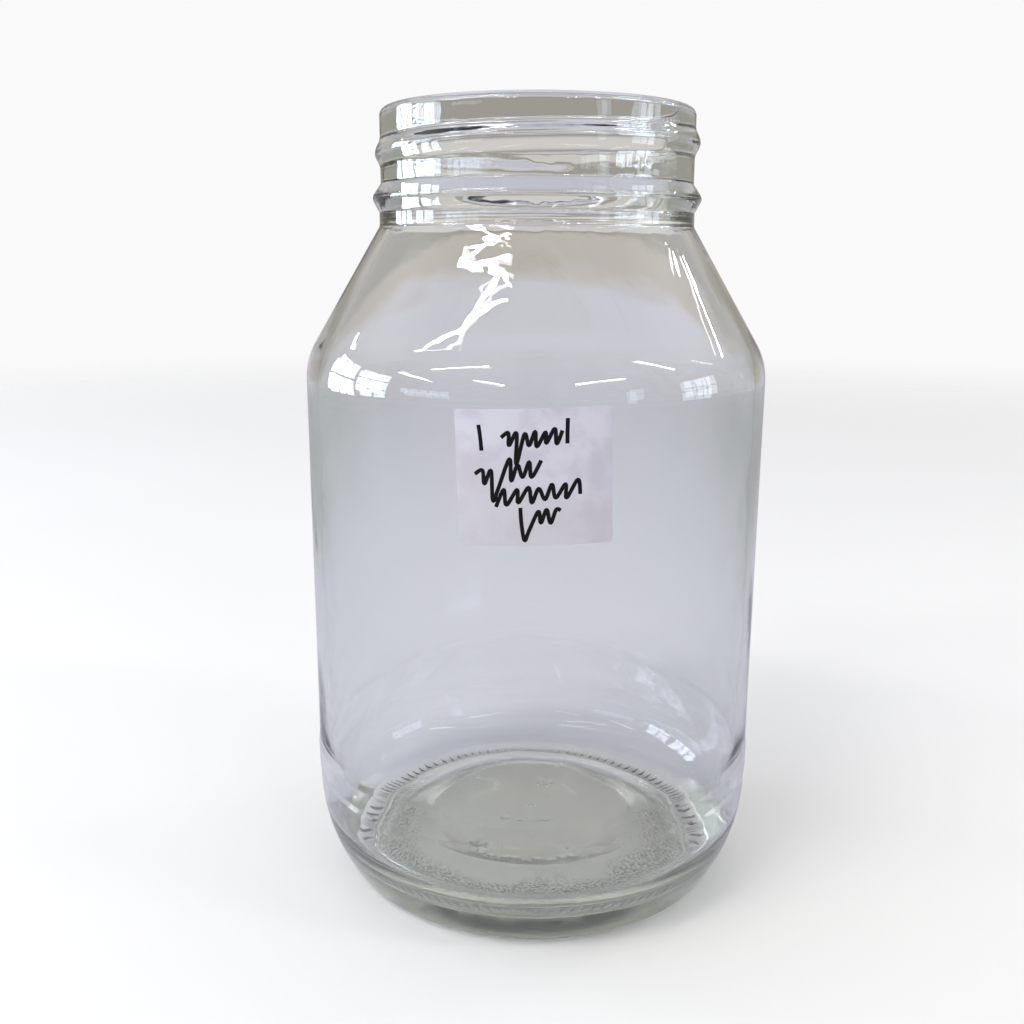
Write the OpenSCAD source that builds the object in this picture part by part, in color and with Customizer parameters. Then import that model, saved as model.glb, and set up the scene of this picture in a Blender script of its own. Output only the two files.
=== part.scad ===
// Wide-mouth glass jar for one quart, with a pressure-sensitive paper label on its front.
// Millimetres. +Z is up, the origin is the middle of the ring that the jar stands on,
// and the label faces -Y.

/* [Overall] */
// Height from the standing ring to the rim
jar_h = 172; // [140:1:210]
// Outer diameter of the straight body wall
body_d = 101.5; // [84:0.5:124]

/* [Neck finish] */
// Outer diameter of the neck wall, at the root of the thread
neck_d = 67.4; // [54:0.2:82]
// Thickness of the neck wall, from the bore to the root of the thread
neck_wall = 3.3; // [2.6:0.1:4]
// Rounding on the outside of the lip
lip_round = 1.7; // [0.8:0.1:1.8]
// Rounding on the inside of the lip
lip_bore_round = 0.8; // [0.3:0.1:0.8]

/* [Thread] */
// How far the thread crest stands proud of the neck wall
thread_proud = 1.1; // [0.6:0.1:1.6]
// Axial distance between thread turns
thread_pitch = 5.08; // [4:0.01:6.5]
// Number of thread turns, counting the run-outs
thread_turns = 1.1; // [0.8:0.05:1.35]
// Width of the thread ridge at its root
thread_w = 4.6; // [3:0.1:5.6]
// Depth of the thread crest under the rim at the front of the jar
thread_drop = 8.1; // [7:0.1:10]

/* [Bead and collar] */
// How far the level bead stands proud of the neck wall
bead_proud = 1.75; // [1:0.05:2.2]
// Height of the bead, root to root
bead_w = 6; // [5:0.1:7.2]
// Distance from the thread crest down to the bead crest, at the front
bead_gap = 10.3; // [8.6:0.1:13]
// How far the collar under the bead stands proud of the neck wall
collar_proud = 0.4; // [0.1:0.1:0.8]
// Height of the plain collar between the bead and the shoulder
collar_h = 2.8; // [2.2:0.1:6]

/* [Shoulder] */
// Angle of the shoulder cone from the vertical
shoulder_angle = 30.6; // [25:0.1:45]
// Rounding where the collar meets the shoulder
collar_round = 1.6; // [0.5:0.1:2]
// Rounding where the shoulder meets the body
shoulder_round = 15; // [6:0.5:22]

/* [Heel] */
// How far the contact band above the heel stands proud of the body wall
band_proud = 0.25; // [0.1:0.05:0.6]
// Height of the contact band
band_h = 9; // [6:0.5:16]
// Large rounding of the heel
heel_round = 37.5; // [24:0.5:42]
// Angle from the vertical that the heel has turned in by at its foot
heel_angle = 33.7; // [28:0.1:40]
// Small rounding from the heel to the standing ring
foot_round = 5; // [3:0.5:8]

/* [Base] */
// Width of the flat ring that the jar stands on
ring_w = 2.4; // [1.8:0.1:4]
// Number of knurls round the standing ring
knurl_count = 108; // [36:12:120]
// Depth of the gaps between the knurls
knurl_depth = 0.3; // [0.2:0.05:0.5]
// Rise of the base just inside the standing ring
base_lift = 1; // [0.5:0.1:2]
// Rise of the pushed-up base at its centre panel
pushup_h = 5.2; // [3:0.1:7]
// Diameter of the centre panel
panel_d = 47.2; // [20:0.2:57]
// Height of the step round the centre panel
panel_step = 0.9; // [0.4:0.1:1.2]

/* [Glass] */
// Thickness of the body wall
wall = 2.4; // [2:0.05:3]
// Thickness of the base at its centre
base_wall = 4.7; // [3.5:0.1:6]
// Height of the floor where it would meet the wall
floor_edge_h = 3.7; // [3:0.1:4.5]
// Rounding inside between the floor and the wall
floor_round = 11.5; // [10:0.5:14]

/* [Label] */
// Width of the paper, measured round the jar
label_w = 29.2; // [16:0.1:44]
// Height of the paper
label_h = 25.8; // [14:0.1:44]
// Thickness of the paper
paper_t = 0.14; // [0.1:0.01:0.2]
// Thickness of the adhesive
adhesive_t = 0.06; // [0.04:0.01:0.1]
// Gap between the top of the straight wall and the highest corner of the label
label_gap = 0.1; // [0:0.1:6]
// Turn of the label round the jar, from straight ahead
label_turn = 0; // [-20:0.5:20]
// Tilt of the label in its own plane
label_tilt = 1.7; // [-10:0.1:10]

/* [Hidden] */
$fn = 180;

// Degrees of arc between two points of a rounding.
ARC_STEP = 5;
// Overrun of a cutting solid past the face that it cuts.
CUT = 1;

// Small roundings of the moulded glass.
BEAD_CREST_ROUND = 1.5;
BEAD_UPPER_ROUND = 1.2;
BEAD_LOWER_ROUND = 0.8;
BAND_ROUND = 4;
PANEL_ROUND = 0.6;
PANEL_SLOPE_W = 0.8;
LIFT_ROUND = 3;
LIFT_W = 1;
BORE_FOOT_ROUND = 4;
FLOOR_DOME_H = 0.5;
FLOOR_DOME_ROUND = 20;

body_r = body_d / 2;
neck_r = neck_d / 2;
bore_r = neck_r - neck_wall;
collar_r = neck_r + collar_proud;
inner_r = body_r - wall;
panel_r = panel_d / 2;

// Bead: its corner lies above its crest by what the crest's rounding takes away.
bead_h = jar_h - thread_drop - bead_gap;
bead_slope = atan(bead_w / 2 / bead_proud);
bead_corner_r = neck_r + bead_proud + BEAD_CREST_ROUND * (1 / sin(bead_slope) - 1);

// Shoulder: the cone runs from the collar down to the body wall.
shoulder_top_h = bead_h - bead_w / 2 - collar_h;
shoulder_h = shoulder_top_h - (body_r - collar_r) / tan(shoulder_angle);
wall_top_h = shoulder_h - shoulder_round * tan(shoulder_angle / 2);

// Inner shoulder: a cone parallel to the outer one, one wall inside it.
inner_shoulder_h = shoulder_h - wall * tan(shoulder_angle / 2);
bore_foot_h = inner_shoulder_h + (inner_r - bore_r) / tan(shoulder_angle);

// Heel: the large arc and the small foot arc meet end to end.
HEEL_JOIN = 0.02;
heel_run = heel_round * tan(heel_angle / 2);
foot_run = foot_round * tan(45 - heel_angle / 2);
heel_corner_h = (heel_run + foot_run + HEEL_JOIN) * cos(heel_angle);
heel_top_h = heel_corner_h + heel_run;
foot_corner_r = body_r - heel_corner_h * tan(heel_angle);
ring_outer_r = foot_corner_r - foot_run;
ring_inner_r = ring_outer_r - ring_w;

// Contact band: it starts just above the heel arc.
band_low_h = heel_top_h + 1;
band_slope_h = band_h / 4;

floor_h = pushup_h + panel_step + base_wall;

function unit(v) = v / norm(v);

// Points on the arc of radius r that rounds the corner at b between a and c.
function corner_arc(a, b, c, r) =
    let (
        u = unit(a - b),
        v = unit(c - b),
        half = acos(u * v) / 2,
        centre = b + unit(u + v) * r / sin(half),
        s = b + u * r / tan(half) - centre,
        e = b + v * r / tan(half) - centre,
        s_ang = atan2(s[1], s[0]),
        raw = atan2(e[1], e[0]) - s_ang,
        sweep = raw > 180 ? raw - 360 : raw < -180 ? raw + 360 : raw,
        steps = max(2, ceil(abs(sweep) / ARC_STEP))
    )
    [for (i = [0 : steps]) centre + r * [cos(s_ang + sweep * i / steps), sin(s_ang + sweep * i / steps)]];

// A path of [radius, height, rounding] corners, with each rounding replaced by its arc.
function corner(path, i) = [path[i][0], path[i][1]];
function rounded(path) =
    [for (i = [0 : len(path) - 1])
        each (path[i][2] == 0 ? [corner(path, i)] :
            corner_arc(corner(path, i - 1), corner(path, i), corner(path, i + 1), path[i][2]))];

// Section of the glass: up the outside from the centre of the underside to the lip,
// and down the inside to the centre of the floor.
section = [
    [0, pushup_h + panel_step, 0],
    [panel_r, pushup_h + panel_step, PANEL_ROUND],
    [panel_r + PANEL_SLOPE_W, pushup_h, PANEL_ROUND],
    [ring_inner_r - LIFT_W, base_lift, LIFT_ROUND],
    [ring_inner_r, 0, 0],
    [foot_corner_r, 0, foot_round],
    [body_r, heel_corner_h, heel_round],
    [body_r, band_low_h, 0],
    [body_r + band_proud, band_low_h + band_slope_h, BAND_ROUND],
    [body_r + band_proud, band_low_h + band_h - band_slope_h, BAND_ROUND],
    [body_r, band_low_h + band_h, 0],
    [body_r, shoulder_h, shoulder_round],
    [collar_r, shoulder_top_h, collar_round],
    [collar_r, bead_h - bead_w / 2, BEAD_LOWER_ROUND],
    [bead_corner_r, bead_h, BEAD_CREST_ROUND],
    [neck_r, bead_h + bead_w / 2, BEAD_UPPER_ROUND],
    [neck_r, jar_h, lip_round],
    [bore_r, jar_h, lip_bore_round],
    [bore_r, bore_foot_h, BORE_FOOT_ROUND],
    [inner_r, inner_shoulder_h, shoulder_round],
    [inner_r, floor_edge_h, floor_round],
    [panel_r, floor_h - FLOOR_DOME_H, FLOOR_DOME_ROUND],
    [0, floor_h, 0],
];

// Thread: a ridge swept up a right-handed helix, buried in the neck wall at both ends.
THREAD_STEP = 5;
THREAD_RUN_OUT = 24;
THREAD_SINK = 0.8;
THREAD_SIDES = 8;
thread_span = 360 * thread_turns;
thread_first = 270 - thread_span / 2;
thread_stations = ceil(thread_span / THREAD_STEP);

// Height of the ridge at angle a along the thread, from 0 where it is buried to 1.
function thread_grow(a) = sin(90 * max(0, min(1, a / THREAD_RUN_OUT, (thread_span - a) / THREAD_RUN_OUT)));

// The ridge's section at angle a along the thread, as [radius, height] points.
function thread_section(a) =
    let (
        z = jar_h - thread_drop + thread_pitch * (a - thread_span / 2) / 360,
        foot = neck_r - 2 * THREAD_SINK,
        rise = thread_grow(a) * (thread_proud + THREAD_SINK)
    )
    concat(
        [[foot, z - thread_w / 2]],
        [for (i = [0 : THREAD_SIDES])
            let (s = i / THREAD_SIDES)
            [neck_r - THREAD_SINK + rise * sin(180 * s), z + thread_w * (s - 0.5)]],
        [[foot, z + thread_w / 2]]
    );

module thread_ridge() {
    n = THREAD_SIDES + 3;
    last = thread_stations * n;
    points = [for (j = [0 : thread_stations])
        let (a = thread_span * j / thread_stations)
        for (p = thread_section(a))
            [p[0] * cos(thread_first + a), p[0] * sin(thread_first + a), p[1]]];
    sides = [for (j = [0 : thread_stations - 1])
        for (i = [0 : n - 1])
            let (a = j * n + i, b = j * n + (i + 1) % n)
            each [[a, b, b + n], [a, b + n, a + n]]];
    first_cap = [for (i = [1 : n - 2]) [0, i + 1, i]];
    last_cap = [for (i = [1 : n - 2]) [last, last + i, last + i + 1]];
    polyhedron(points = points, faces = concat(sides, first_cap, last_cap), convexity = 6);
}

// Gaps between the knurls, cut across the outer part of the standing ring.
module knurl_gaps() {
    pitch = 360 / knurl_count;
    gap_w = ring_outer_r * sin(pitch) / 2;
    start_r = ring_inner_r + ring_w / 3;
    for (i = [0 : knurl_count - 1])
        rotate([0, 0, (i + 0.5) * pitch])
            translate([start_r, -gap_w / 2, -CUT])
                cube([foot_corner_r - start_r + CUT, gap_w, CUT + knurl_depth]);
}

module jar() {
    color([0.80, 0.84, 0.82, 0.4])
    difference() {
        union() {
            rotate_extrude() polygon(rounded(section));
            thread_ridge();
        }
        knurl_gaps();
    }
}

// A rectangle of the label's size wrapped on the body, from r_in to r_out.
module wrapped_sheet(r_in, r_out) {
    half_chord = body_r * sin(label_w / (2 * body_r) * 180 / PI);
    half_tall = label_h / 2 * cos(label_tilt) + half_chord * sin(abs(label_tilt));
    centre_h = wall_top_h - label_gap - half_tall;
    intersection() {
        translate([0, 0, centre_h - label_h])
            difference() {
                cylinder(r = r_out, h = 2 * label_h);
                translate([0, 0, -CUT])
                    cylinder(r = r_in, h = 2 * label_h + 2 * CUT);
            }
        rotate([0, 0, label_turn])
            translate([0, 0, centre_h])
                rotate([0, -label_tilt, 0])
                    translate([-half_chord, -body_r - CUT, -label_h / 2])
                        cube([2 * half_chord, body_r, label_h]);
    }
}

module label_adhesive() {
    color([0.93, 0.92, 0.88])
    wrapped_sheet(body_r, body_r + adhesive_t);
}

module label_paper() {
    color([0.90, 0.89, 0.92])
    wrapped_sheet(body_r + adhesive_t, body_r + adhesive_t + paper_t);
}

jar();
label_adhesive();
label_paper();
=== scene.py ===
"""Wide-mouth quart glass jar with a hand-marked paper label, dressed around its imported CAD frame."""

import logging
import math
from dataclasses import dataclass, field
from enum import Enum
from typing import Any, Callable, Optional, Sequence, Union

import bmesh
import bpy
from mathutils import Matrix, Vector


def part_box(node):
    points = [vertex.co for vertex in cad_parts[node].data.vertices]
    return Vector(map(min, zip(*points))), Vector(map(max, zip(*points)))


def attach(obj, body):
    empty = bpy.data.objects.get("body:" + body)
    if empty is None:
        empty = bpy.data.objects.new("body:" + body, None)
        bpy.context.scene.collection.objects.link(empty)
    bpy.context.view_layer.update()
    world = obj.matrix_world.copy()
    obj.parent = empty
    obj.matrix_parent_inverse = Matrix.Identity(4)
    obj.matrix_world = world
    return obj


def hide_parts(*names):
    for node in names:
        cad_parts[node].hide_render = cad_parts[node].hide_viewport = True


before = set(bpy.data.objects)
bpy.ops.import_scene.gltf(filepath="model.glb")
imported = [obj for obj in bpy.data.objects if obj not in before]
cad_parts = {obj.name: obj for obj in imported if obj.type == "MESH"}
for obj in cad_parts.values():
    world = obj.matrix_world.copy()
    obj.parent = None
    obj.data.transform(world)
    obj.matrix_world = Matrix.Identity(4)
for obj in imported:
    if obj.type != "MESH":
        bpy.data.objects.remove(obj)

LOG = logging.getLogger("jar")
MM = 0.001
TURN = 2 * math.pi
Point = tuple[float, float]
Colour = tuple[float, float, float]


# ---------------------------------------------------------------- node trees


def operator(operation: str, swapped: bool = False) -> Callable[["Term", Any], "Term"]:
    """Makes a method that puts one Math node on a term and another value.

    Args:
        operation: the Math node's operation.
        swapped: whether the other value comes first, as in the reflected forms.

    Returns:
        The method.
    """

    def method(self: "Term", other: Any) -> "Term":
        """The node's output."""
        return self.kit.math(operation, *((other, self) if swapped else (self, other)))

    return method


class Term:
    """A node's output that can stand in a Python expression."""

    def __init__(self, kit: "NodeKit", out: bpy.types.NodeSocket) -> None:
        self.kit = kit
        self.out = out

    __add__, __radd__ = operator("ADD"), operator("ADD", True)
    __sub__, __rsub__ = operator("SUBTRACT"), operator("SUBTRACT", True)
    __mul__, __rmul__ = operator("MULTIPLY"), operator("MULTIPLY", True)
    __truediv__, __rtruediv__ = operator("DIVIDE"), operator("DIVIDE", True)
    __pow__, __rpow__ = operator("POWER"), operator("POWER", True)
    __gt__, __lt__ = operator("GREATER_THAN"), operator("LESS_THAN")

    def __neg__(self) -> "Term":
        """-self."""
        return self.kit.math("MULTIPLY", self, -1.0)

    def __abs__(self) -> "Term":
        """|self|."""
        return self.kit.math("ABSOLUTE", self)


class NodeKit:
    """Adds nodes to one tree, for shaders and for geometry alike."""

    def __init__(self, tree: bpy.types.NodeTree) -> None:
        """Takes the tree, emptied by the caller where it had nodes."""
        self.tree = tree
        self.made = 0

    def add(
        self,
        kind: str,
        settings: Optional[dict[str, Any]] = None,
        sockets: Optional[dict[Union[str, int], Any]] = None,
    ) -> bpy.types.Node:
        """Adds one node.

        Args:
            kind: the node's type name.
            settings: properties set before any socket.
            sockets: input name or index, to a value, a term or an output socket.

        Returns:
            The node.
        """
        node = self.tree.nodes.new(kind)
        node.location = (220 * (self.made % 12), -180 * (self.made // 12))
        self.made += 1
        for name, value in (settings or {}).items():
            setattr(node, name, value)
        for key, value in (sockets or {}).items():
            self.plug(node.inputs[key], value)
        return node

    def plug(self, socket: bpy.types.NodeSocket, value: Any) -> None:
        """Links or sets one input.

        Args:
            socket: the input.
            value: a term or an output to link, or else the input's own value.
        """
        if isinstance(value, Term):
            self.tree.links.new(value.out, socket)
        elif isinstance(value, bpy.types.NodeSocket):
            self.tree.links.new(value, socket)
        else:
            socket.default_value = value

    def term(self, node: bpy.types.Node, output: Union[str, int] = 0) -> Term:
        """The node's output as a term."""
        return Term(self, node.outputs[output])

    def math(self, operation: str, *values: Any) -> Term:
        """A Math node on one to three values."""
        return self.term(self.add("ShaderNodeMath", {"operation": operation}, dict(enumerate(values))))

    def vector(self, operation: str, *values: Any) -> Term:
        """A Vector Math node on its vector inputs."""
        return self.term(self.add("ShaderNodeVectorMath", {"operation": operation}, dict(enumerate(values))))

    def scaled(self, vector: Any, amount: Any) -> Term:
        """The vector times a number."""
        node = self.add("ShaderNodeVectorMath", {"operation": "SCALE"}, {"Vector": vector, "Scale": amount})
        return self.term(node)

    def smooth(self, value: Any, low: Any, high: Any) -> Term:
        """A smooth step.

        Args:
            value: what is measured.
            low: where the step starts from 0.
            high: where it reaches 1.

        Returns:
            The step, from 0 to 1.
        """
        node = self.add(
            "ShaderNodeMapRange",
            {"interpolation_type": "SMOOTHSTEP"},
            {"Value": value, "From Min": low, "From Max": high},
        )
        return self.term(node)

    def clamped(self, value: Any, low: Any = 0.0, high: Any = 1.0) -> Term:
        """The value held between low and high."""
        return self.math("MINIMUM", self.math("MAXIMUM", value, low), high)

    def axes(self, vector: Any) -> tuple[Term, Term, Term]:
        """The vector's three numbers."""
        node = self.add("ShaderNodeSeparateXYZ", sockets={0: vector})
        return self.term(node, 0), self.term(node, 1), self.term(node, 2)

    def joined(self, x: Any, y: Any, z: Any) -> Term:
        """A vector from three numbers."""
        return self.term(self.add("ShaderNodeCombineXYZ", sockets={0: x, 1: y, 2: z}))

    def noise(self, vector: Any, scale: float, detail: float = 2.0, roughness: float = 0.5) -> Term:
        """A noise texture.

        Args:
            vector: where it is read.
            scale: its features a metre.
            detail: how many finer layers it has.
            roughness: how strong the finer layers are.

        Returns:
            The noise, from 0 to 1.
        """
        node = self.add(
            "ShaderNodeTexNoise",
            {"noise_dimensions": "3D"},
            {"Vector": vector, "Scale": scale, "Detail": detail, "Roughness": roughness},
        )
        return self.term(node, "Fac")

    def blend(self, factor: Any, first: Any, second: Any) -> Term:
        """A mix of two colours.

        Args:
            factor: the second colour's share.
            first: the first colour, as a tuple or a term.
            second: the second colour, as a tuple or a term.

        Returns:
            The colour.
        """
        node = self.add("ShaderNodeMix", {"data_type": "RGBA"})
        self.plug(node.inputs[0], factor)
        self.plug(node.inputs[6], (*first, 1.0) if isinstance(first, tuple) else first)
        self.plug(node.inputs[7], (*second, 1.0) if isinstance(second, tuple) else second)
        return self.term(node, 2)

    def bump(self, height: Any, depth: float, normal: Any = None) -> Term:
        """A bumped normal.

        Args:
            height: the height, from 0 to 1.
            depth: what its full range is worth, in metres.
            normal: the normal that it starts from, if another bump made it.

        Returns:
            The normal.
        """
        sockets: dict[Union[str, int], Any] = {"Height": height, "Distance": depth, "Strength": 1.0}
        if normal is not None:
            sockets["Normal"] = normal
        return self.term(self.add("ShaderNodeBump", sockets=sockets))


# ---------------------------------------------------------------- finishes


def new_material(name: str) -> tuple[bpy.types.Material, NodeKit, bpy.types.Node]:
    """Starts a material.

    Args:
        name: the material's name.

    Returns:
        The material, its kit and its output node.
    """
    material = bpy.data.materials.new(name)
    material.use_nodes = True
    material.node_tree.nodes.clear()
    kit = NodeKit(material.node_tree)
    return material, kit, kit.add("ShaderNodeOutputMaterial")


@dataclass(frozen=True)
class ClearGlass:
    """Soda-lime container glass: clear, with a faint grey-green body that shows where it is thick.

    Radii, heights and depths are in metres, and scales are features a metre.
    """

    ior: float = 1.52
    smudge_scale: float = 38.0
    smudge_roughness: float = 0.035
    absorbed: Colour = (0.925, 0.932, 0.908)
    density: float = 80.0
    pebble_depth: float = 0.00004
    pebble_scale: float = 260.0
    stipple_depth: float = 0.00012
    stipple_scale: float = 900.0
    stipple_radii: tuple[float, float] = (0.0315, 0.0378)
    stipple_top: float = 0.0056
    under_top: float = 0.0075
    under_fall: tuple[float, float] = (0.0244, 0.22)
    under_roughness: float = 0.20
    under_tint: Colour = (0.985, 0.98, 0.90)
    speck_shade: Colour = (0.20, 0.21, 0.165)
    speck_radii: tuple[float, float] = (0.0256, 0.0302)
    speck_end: tuple[float, float] = (0.0338, 0.0370)
    speck_scale: float = 1500.0
    foot_roughness: float = 0.10
    foot_heights: tuple[float, float] = (0.003, 0.009)
    cast_scale: float = 260.0
    mottle_scale: float = 120.0
    mottle_reach: float = 0.004
    neck_bottom: float = 0.150
    neck_step: float = 0.010

    def material(self) -> bpy.types.Material:
        """Builds the glass: a transmitting surface around a volume that absorbs.

        Returns:
            The material.
        """
        material, kit, output = new_material("clear_glass")
        place = kit.term(kit.add("ShaderNodeTexCoord"), "Object")
        x, y, z = kit.axes(place)
        radius = kit.math("SQRT", x * x + y * y)
        ring_start, ring_end = self.stipple_radii

        on_neck = kit.smooth(z, self.neck_bottom - self.neck_step, self.neck_bottom)
        pebble = kit.noise(place, self.pebble_scale, 1.0) * (0.2 + 0.8 * on_neck)
        on_ring = kit.smooth(radius, ring_start, ring_start + 0.002)
        on_ring = on_ring * (1 - kit.smooth(radius, ring_end - 0.001, ring_end)) * (z < self.stipple_top)
        stipple = kit.noise(place, self.stipple_scale, 1.0) * on_ring

        fall_start, fall = self.under_fall
        limit = self.under_top - fall * kit.math("MAXIMUM", radius - fall_start, 0.0)
        under = (radius < ring_end) * (z < limit)
        mottle = kit.smooth(kit.noise(place, self.mottle_scale, 4.0, 0.65), 0.35, 0.7)
        # the underside's stippling, with its specks coloured dark: painted shade that darkens the base's
        # outer ring
        speck = kit.smooth(kit.noise(place, self.speck_scale, 3.0, 0.7), 0.42, 0.60)
        wandered = radius + self.mottle_reach * (mottle - 0.5)
        speck_shade_ring = under * kit.smooth(wandered, *self.speck_radii) * (1 - kit.smooth(radius, *self.speck_end))
        tint = kit.blend(under, (1.0, 1.0, 1.0), self.under_tint)
        tint = kit.blend(speck_shade_ring * speck, tint, self.speck_shade)

        foot = (1 - kit.smooth(z, *self.foot_heights)) * (radius > ring_end)
        cast = 0.7 + 0.6 * kit.noise(place, self.cast_scale, 2.0)
        smudge = kit.smooth(kit.noise(place, self.smudge_scale, 4.0, 0.6), 0.52, 0.75)
        roughness = self.smudge_roughness * smudge
        roughness = roughness + cast * (self.under_roughness * under + self.foot_roughness * foot)
        normal = kit.bump(pebble, self.pebble_depth)
        normal = kit.bump(stipple, self.stipple_depth, normal)
        surface = kit.add(
            "ShaderNodeBsdfPrincipled",
            sockets={
                "Base Color": tint,
                "Roughness": roughness,
                "IOR": self.ior,
                "Transmission Weight": 1.0,
                "Normal": normal,
            },
        )
        body = {"Color": (*self.absorbed, 1.0), "Density": self.density}
        volume = kit.add("ShaderNodeVolumeAbsorption", sockets=body)
        kit.plug(output.inputs["Surface"], surface.outputs[0])
        kit.plug(output.inputs["Volume"], volume.outputs[0])
        return material


@dataclass(frozen=True)
class LabelPaper:
    """Uncoated white label paper, with the fibres and the faint blotches of cheap stock, coloured a cool
    grey-lavender: painted shade, as the white paper looks in shade.
    """

    shaded_paper: Colour = (0.71, 0.69, 0.765)
    blotch: Colour = (0.57, 0.53, 0.615)
    warm: Colour = (0.61, 0.58, 0.595)
    cloud_scale: float = 120.0
    side_scale: float = 45.0
    fibre_scale: float = 1400.0
    fibre_depth: float = 0.00003

    def material(self) -> bpy.types.Material:
        """Builds the paper.

        Returns:
            The material.
        """
        material, kit, output = new_material("label_paper")
        place = kit.term(kit.add("ShaderNodeTexCoord"), "Object")
        cloud = kit.smooth(kit.noise(place, self.cloud_scale, 3.0, 0.6), 0.42, 0.68)
        fibre = kit.noise(kit.vector("MULTIPLY", place, (1.0, 1.0, 2.6)), self.fibre_scale, 4.0, 0.7)
        side = kit.smooth(kit.noise(place, self.side_scale, 1.0), 0.45, 0.62)
        # painted shade: the paper's colours are a darkened grey-lavender rather than white
        base = kit.blend(cloud * 0.7, self.shaded_paper, self.blotch)
        base = kit.blend(side * 0.6, base, self.warm)
        base = kit.blend(kit.smooth(fibre, 0.62, 0.75) * 0.35, base, self.blotch)
        surface = kit.add(
            "ShaderNodeBsdfPrincipled",
            sockets={
                "Base Color": base,
                "Roughness": 0.72 + 0.2 * fibre,
                "Specular IOR Level": 0.3,
                "Normal": kit.bump(fibre, self.fibre_depth),
            },
        )
        kit.plug(output.inputs["Surface"], surface.outputs[0])
        return material


@dataclass(frozen=True)
class DriedAdhesive:
    """Pressure-sensitive adhesive as it shows through the glass: off-white, with small trapped bubbles."""

    film: Colour = (0.62, 0.60, 0.58)
    bubble: Colour = (0.74, 0.73, 0.73)
    bubble_scale: float = 520.0
    bubble_depth: float = 0.00002
    patch_scale: float = 160.0

    def material(self) -> bpy.types.Material:
        """Builds the adhesive.

        Returns:
            The material.
        """
        material, kit, output = new_material("label_adhesive")
        place = kit.term(kit.add("ShaderNodeTexCoord"), "Object")
        spread = {"Vector": place, "Scale": self.bubble_scale}
        cells = kit.add("ShaderNodeTexVoronoi", {"feature": "F1"}, spread)
        bubbles = 1 - kit.smooth(kit.term(cells, "Distance"), 0.12, 0.26)
        patches = kit.smooth(kit.noise(place, self.patch_scale, 2.0), 0.5, 0.62)
        base = kit.blend(bubbles * patches, self.film, self.bubble)
        surface = kit.add(
            "ShaderNodeBsdfPrincipled",
            sockets={
                "Base Color": base,
                "Roughness": 0.45 + 0.2 * patches,
                "Normal": kit.bump(bubbles, self.bubble_depth),
            },
        )
        kit.plug(output.inputs["Surface"], surface.outputs[0])
        return material


@dataclass(frozen=True)
class PenInk:
    """Black felt-pen ink: dense in the stroke, a little thinner where the pen ran dry."""

    dense: Colour = (0.002, 0.002, 0.0025)
    thin: Colour = (0.014, 0.013, 0.017)
    streak_scale: float = 1900.0
    streak_depth: float = 0.00001

    def material(self) -> bpy.types.Material:
        """Builds the ink.

        Returns:
            The material.
        """
        material, kit, output = new_material("pen_ink")
        place = kit.term(kit.add("ShaderNodeTexCoord"), "Object")
        streak = kit.smooth(kit.noise(place, self.streak_scale, 3.0, 0.6), 0.5, 0.8)
        surface = kit.add(
            "ShaderNodeBsdfPrincipled",
            sockets={
                "Base Color": kit.blend(streak, self.dense, self.thin),
                "Roughness": 0.62 + 0.2 * streak,
                "Specular IOR Level": 0.2,
                "Normal": kit.bump(streak, self.streak_depth),
            },
        )
        kit.plug(output.inputs["Surface"], surface.outputs[0])
        return material


@dataclass(frozen=True)
class PaleSweep:
    """Studio floor: white to the camera and pale cool grey in the glass, with a pool of light painted round
    and under the jar, fading out into the backdrop.

    Its underside is clear, so that the object can be looked at from below.
    """

    paint: Colour = (0.56, 0.56, 0.62)
    cloudy: Colour = (0.54, 0.54, 0.60)
    shaded: Colour = (0.31, 0.325, 0.30)
    shade_reach: tuple[float, float] = (0.06, 0.32)
    shade_share: float = 0.85
    painted_light_pool: Colour = (0.97, 0.97, 0.95)
    painted_light_reach: tuple[float, float] = (0.039, 0.051)
    white: Colour = (0.84, 0.83, 0.82)
    off_white: Colour = (0.82, 0.81, 0.80)
    cloud_scale: float = 3.0
    fade_reach: tuple[float, float] = (0.45, 1.4)
    front_reach: tuple[float, float] = (0.10, 0.40)

    def material(self) -> bpy.types.Material:
        """Builds the floor's paint.

        Returns:
            The material.
        """
        material, kit, output = new_material("pale_floor")
        place = kit.term(kit.add("ShaderNodeTexCoord"), "Object")
        x, y, _ = kit.axes(place)
        radius = kit.math("SQRT", x * x + y * y)
        cloud = kit.noise(place, self.cloud_scale, 2.0)
        base = kit.blend(cloud, self.paint, self.cloudy)
        base = kit.blend(self.shade_share * kit.smooth(abs(x), *self.shade_reach), base, self.shaded)
        # painted light: a bright pool on the floor round and under the jar, standing in for light let through
        # the glass
        base = kit.blend(1 - kit.smooth(radius, *self.painted_light_reach), base, self.painted_light_pool)
        seen = kit.term(kit.add("ShaderNodeLightPath"), "Is Camera Ray")
        base = kit.blend(seen, base, kit.blend(cloud, self.white, self.off_white))
        beneath = kit.term(kit.add("ShaderNodeNewGeometry"), "Backfacing")
        kept = (1 - kit.smooth(radius, *self.fade_reach)) * (1 - kit.smooth(-y, *self.front_reach))
        surface = kit.add(
            "ShaderNodeBsdfPrincipled",
            sockets={
                "Base Color": base,
                "Roughness": 0.8 + 0.05 * cloud,
                "Specular IOR Level": 0.1,
                "Alpha": (1 - beneath) * kept,
            },
        )
        kit.plug(output.inputs["Surface"], surface.outputs[0])
        return material


# ---------------------------------------------------------------- geometry helpers


def plain_mesh(name: str, holder: bpy.types.Object) -> bpy.types.Object:
    """Turns an object with live Geometry Nodes into a plain mesh object.

    Args:
        name: the new object's name.
        holder: the object that carries the modifier; it is removed.

    Returns:
        A mesh object at the origin with the evaluated mesh.
    """
    evaluated = holder.evaluated_get(bpy.context.evaluated_depsgraph_get())
    mesh = bpy.data.meshes.new_from_object(evaluated)
    mesh.name = name
    piece = linked_object(name, mesh)
    bpy.data.objects.remove(holder)
    return piece


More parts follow.
